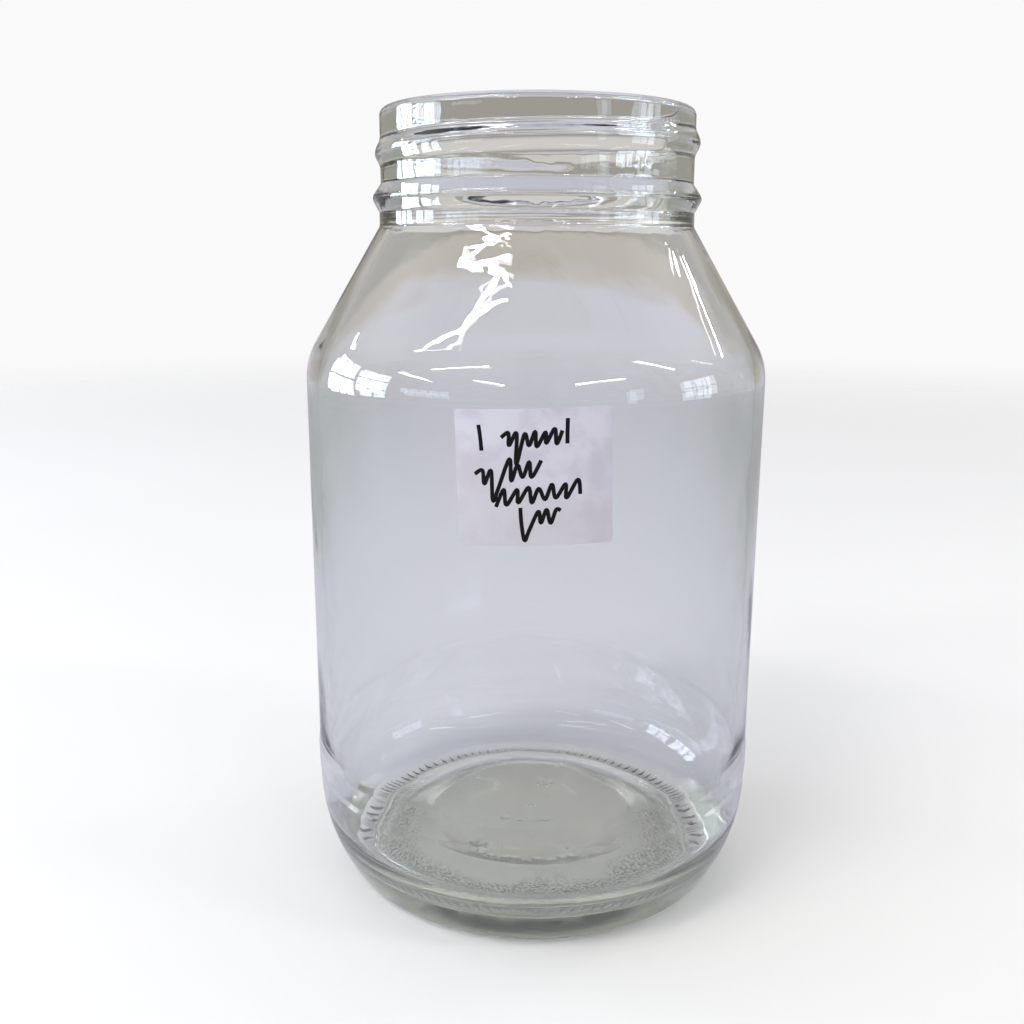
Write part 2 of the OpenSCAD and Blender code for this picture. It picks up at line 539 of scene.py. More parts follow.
class GeometryTree:
    """A Geometry Nodes tree with named inputs, built in the script."""

    def __init__(self, name: str) -> None:
        """Makes the tree with its geometry input and output.

        Args:
            name: the tree's name.
        """
        self.tree = bpy.data.node_groups.new(name, "GeometryNodeTree")
        self.tree.interface.new_socket("Geometry", in_out="INPUT", socket_type="NodeSocketGeometry")
        self.tree.interface.new_socket("Geometry", in_out="OUTPUT", socket_type="NodeSocketGeometry")
        self.kit = NodeKit(self.tree)
        self.values: dict[str, Any] = {}
        self.group_in = self.kit.add("NodeGroupInput")
        self.geometry = self.group_in.outputs["Geometry"]

    def size(self, name: str, value: Any, kind: str = "NodeSocketFloat") -> Term:
        """A named input of the tree.

        Args:
            name: the input's name.
            value: what the modifier sets it to.
            kind: the socket's type.

        Returns:
            The input as a term.
        """
        item = self.tree.interface.new_socket(name, in_out="INPUT", socket_type=kind)
        self.values[item.identifier] = value
        return Term(self.kit, self.group_in.outputs[name])

    def step(
        self,
        kind: str,
        settings: Optional[dict[str, Any]] = None,
        sockets: Optional[dict[Any, Any]] = None,
    ) -> None:
        """Passes the geometry through one more node.

        Args:
            kind: the node's type name.
            settings: properties set before any socket.
            sockets: its other inputs.
        """
        node = self.kit.add(kind, settings, sockets)
        self.kit.plug(node.inputs[0], self.geometry)
        self.geometry = node.outputs[0]

    def finish(self, material: bpy.types.Material) -> None:
        """Ends the tree: smooth faces, real geometry and the material.

        Args:
            material: what the geometry is made of.
        """
        paint = self.size("Material", material, "NodeSocketMaterial")
        self.step("GeometryNodeSetShadeSmooth")
        self.step("GeometryNodeRealizeInstances")
        self.step("GeometryNodeSetMaterial", sockets={"Material": paint})
        end = self.kit.add("NodeGroupOutput")
        self.kit.plug(end.inputs[0], self.geometry)

    def put_on(self, holder: bpy.types.Object) -> None:
        """Adds the tree to an object as a modifier and sets its inputs by identifier.

        Args:
            holder: the object.
        """
        modifier = holder.modifiers.new(self.tree.name, "NODES")
        modifier.node_group = self.tree
        for identifier, value in self.values.items():
            modifier[identifier] = value


def linked_object(name: str, data: Any) -> bpy.types.Object:
    """Puts a new object in the scene.

    Args:
        name: its name.
        data: what it holds.

    Returns:
        The object.
    """
    thing = bpy.data.objects.new(name, data)
    bpy.context.scene.collection.objects.link(thing)
    return thing


def unit(x: float, y: float) -> Point:
    """The direction of (x, y)."""
    length = math.hypot(x, y)
    return x / length, y / length


@dataclass(frozen=True)
class Corner:
    """A corner of the section, in millimetres, with its rounding and the row spacing that follows it."""

    radius: float
    height: float
    rounding: float = 0.0
    spacing: float = 3.0


def corner_arc(before: Corner, at: Corner, after: Corner, degrees: float) -> list[Point]:
    """Points on the arc that rounds a corner.

    Args:
        before: the corner before it.
        at: the corner to round.
        after: the corner after it.
        degrees: the largest turn between two points.

    Returns:
        The arc's points, from its start to its end.
    """
    ux, uy = unit(before.radius - at.radius, before.height - at.height)
    vx, vy = unit(after.radius - at.radius, after.height - at.height)
    half = math.acos(max(-1.0, min(1.0, ux * vx + uy * vy))) / 2
    wx, wy = unit(ux + vx, uy + vy)
    reach = at.rounding / math.sin(half)
    cx, cy = at.radius + wx * reach, at.height + wy * reach
    run = at.rounding / math.tan(half)
    start = math.atan2(at.height + uy * run - cy, at.radius + ux * run - cx)
    end = math.atan2(at.height + vy * run - cy, at.radius + vx * run - cx)
    sweep = (end - start + math.pi) % TURN - math.pi
    steps = max(2, math.ceil(abs(math.degrees(sweep)) / degrees))
    turns = [start + sweep * i / steps for i in range(steps + 1)]
    return [(cx + at.rounding * math.cos(turn), cy + at.rounding * math.sin(turn)) for turn in turns]


# ---------------------------------------------------------------- the jar


class Surface(Enum):
    """Which face of the glass a row of the section lies on."""

    UNDERSIDE = "underside"
    OUTSIDE = "outside"
    LIP = "lip"
    INSIDE = "inside"


@dataclass(frozen=True)
class Row:
    """One ring of the glass: its radius and height in millimetres, its points round, and its ripple share."""

    radius: float
    height: float
    count: int
    ripple: float
    outside: float


@dataclass(frozen=True)
class MouldMark:
    """A raised mark on the underside: its bearing from the front in degrees, and its size in millimetres."""

    bearing: float
    radius: float
    across: float
    along: float


def default_marks() -> list[MouldMark]:
    """Plain bars and dots such as a mould is numbered with.

    Returns:
        Bars and dots at the front of the panel, a pair of bars at its back and a short rule at its middle.
    """
    front = [MouldMark(bearing, 19.6, 2.0, 1.1) for bearing in (-41.0, -35.0, -16.0, -10.0, 21.0, 27.0)]
    dots = [MouldMark(bearing, 19.8, 1.3, 1.3) for bearing in (-26.0, 5.0)]
    back = [MouldMark(bearing, 13.5, 3.0, 1.1) for bearing in (161.0, 171.0)]
    rule = MouldMark(5.0, 9.8, 0.8, 8.0)
    spot = MouldMark(-40.0, 10.0, 1.5, 1.5)
    edge = MouldMark(-40.0, 30.5, 2.6, 1.4)
    return front + dots + back + [rule, spot, edge]


@dataclass
class GlassJar:
    """The moulded glass: one closed shell from the underside's centre over the lip to the floor's centre."""

    height: float = 172.0
    body_radius: float = 50.75
    wall: float = 2.4
    neck_radius: float = 33.7
    neck_wall: float = 3.3
    lip_round: float = 1.7
    lip_bore_round: float = 0.8
    thread_proud: float = 1.08
    thread_pitch: float = 5.08
    thread_turns: float = 1.1
    thread_width: float = 6.6
    thread_drop: float = 8.1
    thread_run_out: float = 24.0
    bead_proud: float = 1.75
    bead_width: float = 6.0
    bead_gap: float = 10.3
    bead_crest_round: float = 1.5
    collar_proud: float = 0.4
    collar_height: float = 2.8
    collar_round: float = 1.6
    shoulder_angle: float = 30.6
    shoulder_round: float = 15.0
    band_proud: float = 0.235
    band_height: float = 9.0
    heel_round: float = 37.5
    heel_angle: float = 33.7
    foot_round: float = 5.0
    ring_width: float = 2.4
    base_lift: float = 1.0
    pushup: float = 5.2
    panel_radius: float = 23.6
    panel_step: float = 0.9
    panel_slope: float = 2.0
    base_wall: float = 4.7
    floor_edge: float = 3.7
    floor_round: float = 11.5
    floor_dome: float = 0.5
    knurl_count: int = 108
    knurl_depth: float = 0.3
    points_round: int = 216
    points_per_knurl: int = 8
    ripple_depth: float = 0.11
    ripple_scale: float = 72.0
    ripple_seed: float = 3.7
    outside_share: float = 0.12
    underside_share: float = 0.15
    lip_calm: float = 8.0
    foot_calm: float = 2.5
    knurl_top: float = 2.2
    mark_raise: float = 0.3
    mark_edge: float = 0.3
    marks: Sequence[MouldMark] = field(default_factory=default_marks)
    arc_step: float = 5.0
    least_gap: float = 0.01
    finish: ClearGlass = field(default_factory=ClearGlass)

    def derived(self) -> dict[str, float]:
        """Heights and radii that follow from the sizes.

        Returns:
            Each derived size by name, in millimetres.
        """
        slope = math.tan(math.radians(self.shoulder_angle))
        half = math.tan(math.radians(self.shoulder_angle / 2))
        bead_h = self.height - self.thread_drop - self.bead_gap
        bead_half = math.atan(self.bead_width / 2 / self.bead_proud)
        collar_r = self.neck_radius + self.collar_proud
        inner_r = self.body_radius - self.wall
        bore_r = self.neck_radius - self.neck_wall
        shoulder_top = bead_h - self.bead_width / 2 - self.collar_height
        shoulder_h = shoulder_top - (self.body_radius - collar_r) / slope
        inner_shoulder = shoulder_h - self.wall * half
        turned = math.radians(self.heel_angle)
        heel_run = self.heel_round * math.tan(turned / 2)
        foot_run = self.foot_round * math.tan(math.pi / 4 - turned / 2)
        heel_corner = (heel_run + foot_run + 0.02) * math.cos(turned)
        foot_corner = self.body_radius - heel_corner * math.tan(turned)
        bead_point = self.bead_crest_round * (1 / math.sin(bead_half) - 1)
        return {
            "bead_h": bead_h,
            "bead_corner_r": self.neck_radius + self.bead_proud + bead_point,
            "collar_r": collar_r,
            "inner_r": inner_r,
            "bore_r": bore_r,
            "shoulder_top": shoulder_top,
            "shoulder_h": shoulder_h,
            "inner_shoulder": inner_shoulder,
            "bore_foot": inner_shoulder + (inner_r - bore_r) / slope,
            "heel_corner": heel_corner,
            "band_low": heel_corner + heel_run + 1,
            "foot_corner_r": foot_corner,
            "ring_outer": foot_corner - foot_run,
            "ring_inner": foot_corner - foot_run - self.ring_width,
            "floor_h": self.pushup + self.panel_step + self.base_wall,
        }

    def corners(self) -> list[tuple[Surface, Corner]]:
        """The section's corners, up the outside and down the inside, each with the face that it starts.

        Returns:
            (surface, corner) pairs in order.
        """
        d = self.derived()
        r, band = self.body_radius, self.body_radius + self.band_proud
        step = self.band_height / 4
        bead_half = self.bead_width / 2
        under, out, lip, inside = Surface.UNDERSIDE, Surface.OUTSIDE, Surface.LIP, Surface.INSIDE
        return [
            (under, Corner(0, self.pushup + self.panel_step, 0, 0.55)),
            (under, Corner(self.panel_radius, self.pushup + self.panel_step, 0.6, 1.0)),
            (under, Corner(self.panel_radius + self.panel_slope, self.pushup, 0.6, 1.6)),
            (under, Corner(d["ring_inner"] - 1, self.base_lift, 3, 0.6)),
            (under, Corner(d["ring_inner"], 0, 0, 0.5)),
            (under, Corner(d["foot_corner_r"], 0, self.foot_round, 0.8)),
            (out, Corner(r, d["heel_corner"], self.heel_round, 3)),
            (out, Corner(r, d["band_low"], 0, 1.2)),
            (out, Corner(band, d["band_low"] + step, 4, 3)),
            (out, Corner(band, d["band_low"] + self.band_height - step, 4, 1.2)),
            (out, Corner(r, d["band_low"] + self.band_height, 0, 4)),
            (out, Corner(r, d["shoulder_h"], self.shoulder_round, 2)),
            (out, Corner(d["collar_r"], d["shoulder_top"], self.collar_round, 1.0)),
            (out, Corner(d["collar_r"], d["bead_h"] - bead_half, 0.8, 0.7)),
            (out, Corner(d["bead_corner_r"], d["bead_h"], self.bead_crest_round, 0.7)),
            (out, Corner(self.neck_radius, d["bead_h"] + bead_half, 1.2, 0.42)),
            (lip, Corner(self.neck_radius, self.height, self.lip_round, 0.5)),
            (inside, Corner(d["bore_r"], self.height, self.lip_bore_round, 2)),
            (inside, Corner(d["bore_r"], d["bore_foot"], 4, 2.2)),
            (inside, Corner(d["inner_r"], d["inner_shoulder"], self.shoulder_round, 4)),
            (inside, Corner(d["inner_r"], self.floor_edge, self.floor_round, 2)),
            (inside, Corner(self.panel_radius, d["floor_h"] - self.floor_dome, 20, 2)),
            (inside, Corner(0, d["floor_h"], 0, 1)),
        ]

    def rows(self) -> list[Row]:
        """The rings of the shell, from the underside's centre to the floor's centre.

        Returns:
            The rows in order, with more points round where the knurls are.
        """
        corners = self.corners()
        points: list[tuple[Surface, float, float]] = []
        for i, (surface, corner) in enumerate(corners):
            if corner.rounding:
                arc = corner_arc(corners[i - 1][1], corner, corners[i + 1][1], self.arc_step)
            else:
                arc = [(corner.radius, corner.height)]
            if points:
                last = points[-1]
                gap = math.dist(last[1:], arc[0])
                spacing = corners[i - 1][1].spacing
                cuts = max(1, math.ceil(gap / spacing))
                run, rise = arc[0][0] - last[1], arc[0][1] - last[2]
                for k in range(1, cuts):
                    points.append((last[0], last[1] + run * k / cuts, last[2] + rise * k / cuts))
            for spot in arc:
                if not points or math.dist(points[-1][1:], spot) > self.least_gap:
                    points.append((surface, *spot))
        return [self._row(*point) for point in points]

    def _row(self, surface: Surface, radius: float, height: float) -> Row:
        """One row, with its ripple and its number of points.

        Args:
            surface: the face it lies on.
            radius: its radius.
            height: its height.

        Returns:
            The row.
        """
        knurled = height < self.knurl_top and radius > self.derived()["ring_inner"] + 0.5
        shares = {
            Surface.UNDERSIDE: self.underside_share,
            Surface.OUTSIDE: self.outside_share,
            Surface.LIP: 0.0,
            Surface.INSIDE: 1.0,
        }
        calm = (self.height - height) / self.lip_calm
        ripple = shares[surface] * max(0.0, min(1.0, calm)) if height > self.foot_calm else 0.0
        count = self.knurl_count * self.points_per_knurl if knurled else self.points_round
        outside = 0.0 if surface is Surface.INSIDE else 1.0
        return Row(radius, height, 1 if radius < 1e-6 else count, ripple, outside)

    def flat_shell(self) -> bpy.types.Mesh:
        """The shell as a sheet whose points hold (radius, angle, height), for the forming tree to wrap.

        Returns:
            A closed mesh in metres and radians.
        """
        points: list[tuple[float, float, float]] = []
        faces: list[tuple[int, ...]] = []
        ripple: list[float] = []
        outside: list[float] = []
        starts: list[int] = []
        rows = self.rows()
        for row in rows:
            starts.append(len(points))
            for j in range(row.count):
                points.append((row.radius * MM, TURN * j / row.count, row.height * MM))
                ripple.append(row.ripple)
                outside.append(row.outside)
        for i in range(len(rows) - 1):
            faces += self._ring_faces(starts[i], rows[i].count, starts[i + 1], rows[i + 1].count)
        mesh = bpy.data.meshes.new("shell_sheet")
        mesh.from_pydata(points, [], faces)
        for name, values in (("ripple", ripple), ("outside", outside)):
            mesh.attributes.new(name, "FLOAT", "POINT").data.foreach_set("value", values)
        return mesh

    def _ring_faces(self, low: int, low_count: int, high: int, high_count: int) -> list[tuple[int, ...]]:
        """Faces between two rows, whose numbers of points are equal, one, or a multiple of each other.

        Args:
            low: the first point of the first row.
            low_count: its number of points.
            high: the first point of the second row.
            high_count: its number of points.

        Returns:
            The faces, all turned outwards.
        """
        if low_count == 1:
            return [(high + j, high + (j + 1) % high_count, low) for j in range(high_count)]
        if high_count == 1:
            return [(low + j, low + (j + 1) % low_count, high) for j in range(low_count)]
        if low_count == high_count:
            steps = [(j, (j + 1) % low_count) for j in range(low_count)]
            return [(low + here, low + there, high + there, high + here) for here, there in steps]
        faces: list[tuple[int, ...]] = []
        coarse_low = low_count < high_count
        coarse, coarse_count = (low, low_count) if coarse_low else (high, high_count)
        fine, fine_count = (high, high_count) if coarse_low else (low, low_count)
        ratio = fine_count // coarse_count
        for j in range(coarse_count):
            here, there = coarse + j, coarse + (j + 1) % coarse_count
            edge = [fine + (j * ratio + k) % fine_count for k in range(ratio + 1)]
            middle = ratio // 2
            fan = [(here, edge[k + 1], edge[k]) for k in range(middle)]
            fan.append((here, there, edge[middle]))
            fan += [(there, edge[k + 1], edge[k]) for k in range(middle, ratio)]
            faces += fan if coarse_low else [face[::-1] for face in fan]
        return faces

    def forming_tree(self, material: bpy.types.Material) -> GeometryTree:
        """The tree that wraps the sheet round the axis and raises the thread, the knurls and the ripple.

        Args:
            material: the glass.

        Returns:
            The tree.
        """
        d = self.derived()
        form = GeometryTree("form_glass")
        kit = form.kit
        neck_r = form.size("Neck Radius", self.neck_radius * MM)
        proud = form.size("Thread Proud", self.thread_proud * MM)
        pitch = form.size("Thread Pitch", self.thread_pitch * MM)
        width = form.size("Thread Width", self.thread_width * MM)
        front = form.size("Thread Front Height", (self.height - self.thread_drop) * MM)
        span = form.size("Thread Span", TURN * self.thread_turns)
        run_out = form.size("Thread Run Out", math.radians(self.thread_run_out))
        knurls = form.size("Knurl Count", float(self.knurl_count))
        knurl_depth = form.size("Knurl Depth", self.knurl_depth * MM)
        knurl_inner = form.size("Knurl Inner Radius", (d["ring_inner"] + self.ring_width / 3) * MM)
        ripple_depth = form.size("Ripple Depth", self.ripple_depth * MM)
        seed = form.size("Ripple Seed", self.ripple_seed)

        radius, angle, height = kit.axes(kit.term(kit.add("GeometryNodeInputPosition")))
        outside = self._attribute(kit, "outside")
        ripple = self._attribute(kit, "ripple")

        along = kit.math("FLOORED_MODULO", angle - 1.5 * math.pi + span * 0.5, TURN)
        ridge: Any = 0.0
        for turn in (0, 1):
            turned = along + turn * TURN
            crest = front + pitch * (turned - span * 0.5) / TURN
            to_end = kit.math("MINIMUM", turned, span - turned) / run_out
            grown = kit.math("SINE", 0.5 * math.pi * kit.clamped(to_end))
            off = kit.clamped(abs(height - crest) / width, 0.0, 0.5)
            swell = kit.math("COSINE", off * math.pi)
            ridge = kit.math("MAXIMUM", ridge, proud * grown * swell * swell)
        on_neck = outside * (radius > neck_r - 0.4 * MM) * (height > front - 4 * width)
        radius = radius + ridge * on_neck

        mark_raise = form.size("Mark Raise", self.mark_raise * MM)
        marked: Any = 0.0
        for mark in self.marks:
            turned = kit.math("WRAP", angle - math.radians(mark.bearing - 90), math.pi, -math.pi)
            beside = self._within(kit, abs(turned) * radius, mark.along / 2)
            inward = self._within(kit, abs(radius - mark.radius * MM), mark.across / 2)
            marked = kit.math("MAXIMUM", marked, beside * inward)
        top = (self.pushup + self.panel_step + 0.4) * MM
        on_underside = outside * (height < top) * (radius < d["ring_inner"] * MM)
        height = height - mark_raise * marked * on_underside

        wave = kit.math("COSINE", angle * knurls)
        gap = kit.smooth(0.0 - wave, -0.35, 0.35)
        on_ring = kit.smooth(radius, knurl_inner, knurl_inner + 0.4 * MM)
        on_ring = on_ring * (1 - kit.smooth(height, 0.35 * MM, 1.5 * MM))
        height = height + outside * knurl_depth * gap * on_ring

        place = kit.joined(radius * kit.math("COSINE", angle), radius * kit.math("SINE", angle), height)
        form.step("GeometryNodeSetPosition", sockets={"Position": place})

        spot = kit.term(kit.add("GeometryNodeInputPosition"))
        shifted = kit.vector("ADD", spot, kit.joined(seed, outside, 0.0))
        swirl = kit.noise(shifted, self.ripple_scale, 1.5, 0.45) - 0.5
        normal = kit.term(kit.add("GeometryNodeInputNormal"))
        offset = kit.scaled(normal, (swirl - outside * 0.5) * ripple * ripple_depth * 2)
        form.step("GeometryNodeSetPosition", sockets={"Offset": offset})
        form.finish(material)
        return form

    def _attribute(self, kit: NodeKit, name: str) -> Term:
        """A float that the sheet's points carry."""
        node = kit.add("GeometryNodeInputNamedAttribute", {"data_type": "FLOAT"}, {"Name": name})
        return kit.term(node, "Attribute")

    def _within(self, kit: NodeKit, distance: Term, reach: float) -> Term:
        """1 where a distance in metres is within a reach in millimetres, with a sloped edge."""
        return 1 - kit.smooth(distance, (reach - self.mark_edge) * MM, (reach + self.mark_edge) * MM)

    def build(self) -> bpy.types.Object:
        """Makes the glass, in place of its CAD solid.

        Returns:
            The finished piece.
        """
        holder = linked_object("shell_sheet", self.flat_shell())
        self.forming_tree(self.finish.material()).put_on(holder)
        glass = plain_mesh("jar_glass", holder)
        for name in ("ripple", "outside"):
            glass.data.attributes.remove(glass.data.attributes[name])
        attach(glass, "root")
        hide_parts("jar")
        return glass


# ---------------------------------------------------------------- the label


def eased(knots: Sequence[Point], steps: int = 8) -> list[Point]:
    """A smooth line through knots.

    Args:
        knots: the points that it passes through.
        steps: how many points it takes from one knot to the next.

    Returns:
        The line's points.
    """
    made: list[Point] = []
    for i in range(len(knots) - 1):
        around = [knots[max(0, min(len(knots) - 1, i + k))] for k in (-1, 0, 1, 2)]
        for step in range(steps):
            t = step / steps
            shares = (-t + 2 * t**2 - t**3, 2 - 5 * t**2 + 3 * t**3, t + 4 * t**2 - 3 * t**3, t**3 - t**2)
            x, y = (sum(share * knot[axis] for share, knot in zip(shares, around)) / 2 for axis in (0, 1))
            made.append((x, y))
    return made + [knots[-1]]


@dataclass(frozen=True)
class Scribble:
    """One unbroken pen line, in millimetres from the label's centre. It spells nothing."""

    start: Point
    end: Point
    heights: tuple[float, ...]
    tall: float = 3.2
    lean: float = 0.2
    wander: float = 0.22

    def line(self) -> list[Point]:
        """The pen's path.

        Returns:
            Its points, with a little wander along the row.
        """
        gaps = len(self.heights) - 1
        knots = []
        for i, high in enumerate(self.heights):
            share = (i + self.wander * math.sin(2.4 * i + self.start[1])) / gaps
            x = self.start[0] + (self.end[0] - self.start[0]) * share + self.lean * self.tall * high
            knots.append((x, self.start[1] + (self.end[1] - self.start[1]) * share + self.tall * high))
        return eased(knots)


@dataclass
class PaperLabel:
    """The label: its adhesive film, its paper and the pen marks, all wrapped on the body."""

    body_radius: float = 50.75
    width: float = 29.2
    tall: float = 25.8
    paper: float = 0.14
    adhesive: float = 0.06
    tilt: float = 1.7
    sink: float = 0.02
    corner_round: float = 0.5
    film_inset: float = 0.15
    cells: tuple[int, int] = (48, 42)
    pen_radius: float = 0.38
    pen_step: float = 0.16
    pen_sides: int = 8
    pen_flat: float = 0.06
    scribbles: Sequence[Scribble] = (
        Scribble((-11.0, 5.2), (-9.6, 5.2), (1.5, 0.8, 0.0), wander=0.0),
        Scribble(
            (-6.2, 5.4),
            (5.0, 6.2),
            (0.7, 0.95, 0.2, 0.9, -0.95, 0.8, 0.1, 0.9, 0.0, 0.8, 0.15, 0.95, 0.05, 0.8),
        ),
        Scribble((5.4, 6.2), (6.2, 6.3), (1.5, 0.7, 0.0), wander=0.0),
        Scribble(
            (-11.3, -1.7),
            (0.6, 0.4),
            (0.8, 0.95, 0.1, 0.85, -1.0, -0.4, 1.35, 0.0, 0.9, 0.1, 0.95, 0.0, 0.9),
        ),
        Scribble(
            (-7.4, -5.4),
            (8.4, -3.6),
            (0.0, 1.0, 0.05, 0.9, 0.1, 0.95, 0.0, 0.8, 0.1, 0.95, 0.1, 0.85, 0.0, 1.0, 0.1),
        ),
        Scribble((-3.4, -9.3), (4.4, -8.4), (1.3, 0.2, -0.95, -0.3, 0.9, 0.1, 0.95, 0.0, 0.85, 0.75), 2.9),
    )
    paper_finish: LabelPaper = field(default_factory=LabelPaper)
    adhesive_finish: DriedAdhesive = field(default_factory=DriedAdhesive)
    ink_finish: PenInk = field(default_factory=PenInk)

    def centre_height(self) -> float:
        """The label's middle height in metres, from its CAD solid."""
        low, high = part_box("label_paper")
        return (low[2] + high[2]) / 2

    def wrapping_steps(self, form: GeometryTree) -> None:
        """Adds the steps that tilt a flat thing and wrap it on the body.

        Args:
            form: the tree to add to; the flat thing lies in X and Y, with Z its height off the glass.
        """
        kit = form.kit
        radius = form.size("Body Radius", self.body_radius * MM)
        centre = form.size("Centre Height", self.centre_height())
        tilt = form.size("Tilt", math.radians(self.tilt))
        x, y, z = kit.axes(kit.term(kit.add("GeometryNodeInputPosition")))
        cosine, sine = kit.math("COSINE", tilt), kit.math("SINE", tilt)
        across = (x * cosine - y * sine) / radius
        reach = radius + z
        place = kit.joined(
            reach * kit.math("SINE", across),
            0.0 - reach * kit.math("COSINE", across),
            centre + x * sine + y * cosine,
        )
        form.step("GeometryNodeSetPosition", sockets={"Position": place})

    def flat_sheet(self, name: str, low: float, high: float, inset: float) -> bpy.types.Mesh:
        """A flat sheet with softened corners and a closed edge.

        Args:
            name: the mesh's name.
            low: its back face's height off the glass.
            high: its front face's height off the glass.
            inset: how far it stays inside the label's outline.

        Returns:
            The mesh, in metres.
        """
        half_w, half_t = self.width / 2 - inset, self.tall / 2 - inset
        columns, levels = self.cells
        mesh = bpy.data.meshes.new(name)
        work = bmesh.new()
        grids = []
        for z in (low, high):
            grid = []
            for j in range(levels + 1):
                for i in range(columns + 1):
                    u, v = 2 * i / columns - 1, 2 * j / levels - 1
                    x, y = u * half_w, v * half_t
                    past_x = max(0.0, abs(x) - (half_w - self.corner_round))
                    past_y = max(0.0, abs(y) - (half_t - self.corner_round))
                    past = math.hypot(past_x, past_y)
                    if past > self.corner_round:
                        pull = self.corner_round / past
                        x -= math.copysign(past_x * (1 - pull), x)
                        y -= math.copysign(past_y * (1 - pull), y)
                    grid.append(work.verts.new((x * MM, y * MM, z * MM)))
            grids.append(grid)
        span = columns + 1
        for j in range(levels):
            for i in range(columns):
                a = j * span + i
                work.faces.new([grids[1][k] for k in (a, a + 1, a + span + 1, a + span)])
                work.faces.new([grids[0][k] for k in (a, a + span, a + span + 1, a + 1)])
        rim = list(range(columns))
        rim += [columns + j * span for j in range(levels)]
        rim += [levels * span + i for i in range(columns, 0, -1)]
        rim += [j * span for j in range(levels, 0, -1)]
        for k, here in enumerate(rim):
            there = rim[(k + 1) % len(rim)]
            work.faces.new((grids[0][here], grids[0][there], grids[1][there], grids[1][here]))
        work.to_mesh(mesh)
        work.free()
        return mesh

    def make_sheet(
        self,
        name: str,
        low: float,
        high: float,
        inset: float,
        material: bpy.types.Material,
    ) -> bpy.types.Object:
        """Makes one wrapped sheet.

        Args:
            name: the piece's name.
            low: its back face's height off the glass.
            high: its front face's height off the glass.
            inset: how far it stays inside the label's outline.
            material: its finish.

        Returns:
            The piece.
        """
        holder = linked_object("flat_" + name, self.flat_sheet("flat_" + name, low, high, inset))
        form = GeometryTree("wrap_" + name)
        self.wrapping_steps(form)
        form.finish(material)
        form.put_on(holder)
        piece = plain_mesh(name, holder)
        piece.data.shade_flat()
        return piece

    def make_marks(self, material: bpy.types.Material) -> bpy.types.Object:
        """Makes the pen marks: flattened round-ended lines on the paper.

        Args:
            material: the ink.

        Returns:
            The piece.
        """
        curve = bpy.data.curves.new("pen_lines", "CURVE")
        curve.dimensions = "3D"
        for spots in (scribble.line() for scribble in self.scribbles):
            spline = curve.splines.new("POLY")
            spline.points.add(len(spots) - 1)
            for point, (x, y) in zip(spline.points, spots):
                point.co = (x * MM, y * MM, 0.0, 1.0)
        holder = linked_object("pen_lines", curve)
        form = GeometryTree("draw_pen_marks")
        kit = form.kit
        pen = form.size("Pen Radius", self.pen_radius * MM)
        flat = form.size("Pen Flatness", self.pen_flat)
        top = form.size("Paper Top", (self.adhesive + self.paper) * MM)
        form.step("GeometryNodeResampleCurve", {"mode": "LENGTH"}, {"Length": self.pen_step * MM})
        done = kit.add("GeometryNodeSplineParameter")
        whole = kit.term(kit.add("GeometryNodeSplineLength"), "Length")
        run = kit.term(done, "Length")
        to_end = kit.clamped(kit.math("MINIMUM", run, whole - run) / pen + 0.04)
        rounded = kit.math("SQRT", kit.math("MAXIMUM", 1 - (1 - to_end) * (1 - to_end), 0.0))
        press = 0.82 + 0.36 * kit.noise(kit.term(kit.add("GeometryNodeInputPosition")), 420.0, 1.0)
        form.step("GeometryNodeSetCurveRadius", sockets={"Radius": rounded * press})
        rim = {"Resolution": self.pen_sides, "Radius": pen}
        ring = kit.add("GeometryNodeCurvePrimitiveCircle", {"mode": "RADIUS"}, rim)
        form.step("GeometryNodeCurveToMesh", sockets={"Profile Curve": ring.outputs[0], "Fill Caps": True})
        x, y, z = kit.axes(kit.term(kit.add("GeometryNodeInputPosition")))
        form.step("GeometryNodeSetPosition", sockets={"Position": kit.joined(x, y, z * flat + top)})
        self.wrapping_steps(form)
        form.finish(material)
        form.put_on(holder)
        return plain_mesh("pen_marks", holder)

    def build(self) -> list[bpy.types.Object]:
        """Makes the label's three pieces.

        Returns:
            The adhesive, the paper and the pen marks.
        """
        top = self.adhesive + self.paper
        glue = self.adhesive_finish.material()
        film = self.make_sheet("label_film", -self.sink, self.adhesive, self.film_inset, glue)
        sheet = self.make_sheet("label_sheet", self.adhesive, top, 0.0, self.paper_finish.material())
        marks = self.make_marks(self.ink_finish.material())
        for piece, node, slot in (
            (film, "label_adhesive", "label_adhesive"),
            (sheet, "label_paper", "label_paper"),
            (marks, None, "pen_ink"),
        ):
            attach(piece, "root")
            if node:
                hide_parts(node)
        return [film, sheet, marks]


# ---------------------------------------------------------------- the studio


Aim = tuple[float, float]


def direction(aim: Aim) -> Vector:
    """Turns an aim into a direction.

    Args:
        aim: a bearing and a lift in degrees, with bearing 0 towards the camera.

    Returns:
        The unit vector.
    """
    bearing, lift = (math.radians(angle) for angle in aim)
    return Vector((math.sin(bearing) * math.cos(lift), -math.cos(bearing) * math.cos(lift), math.sin(lift)))


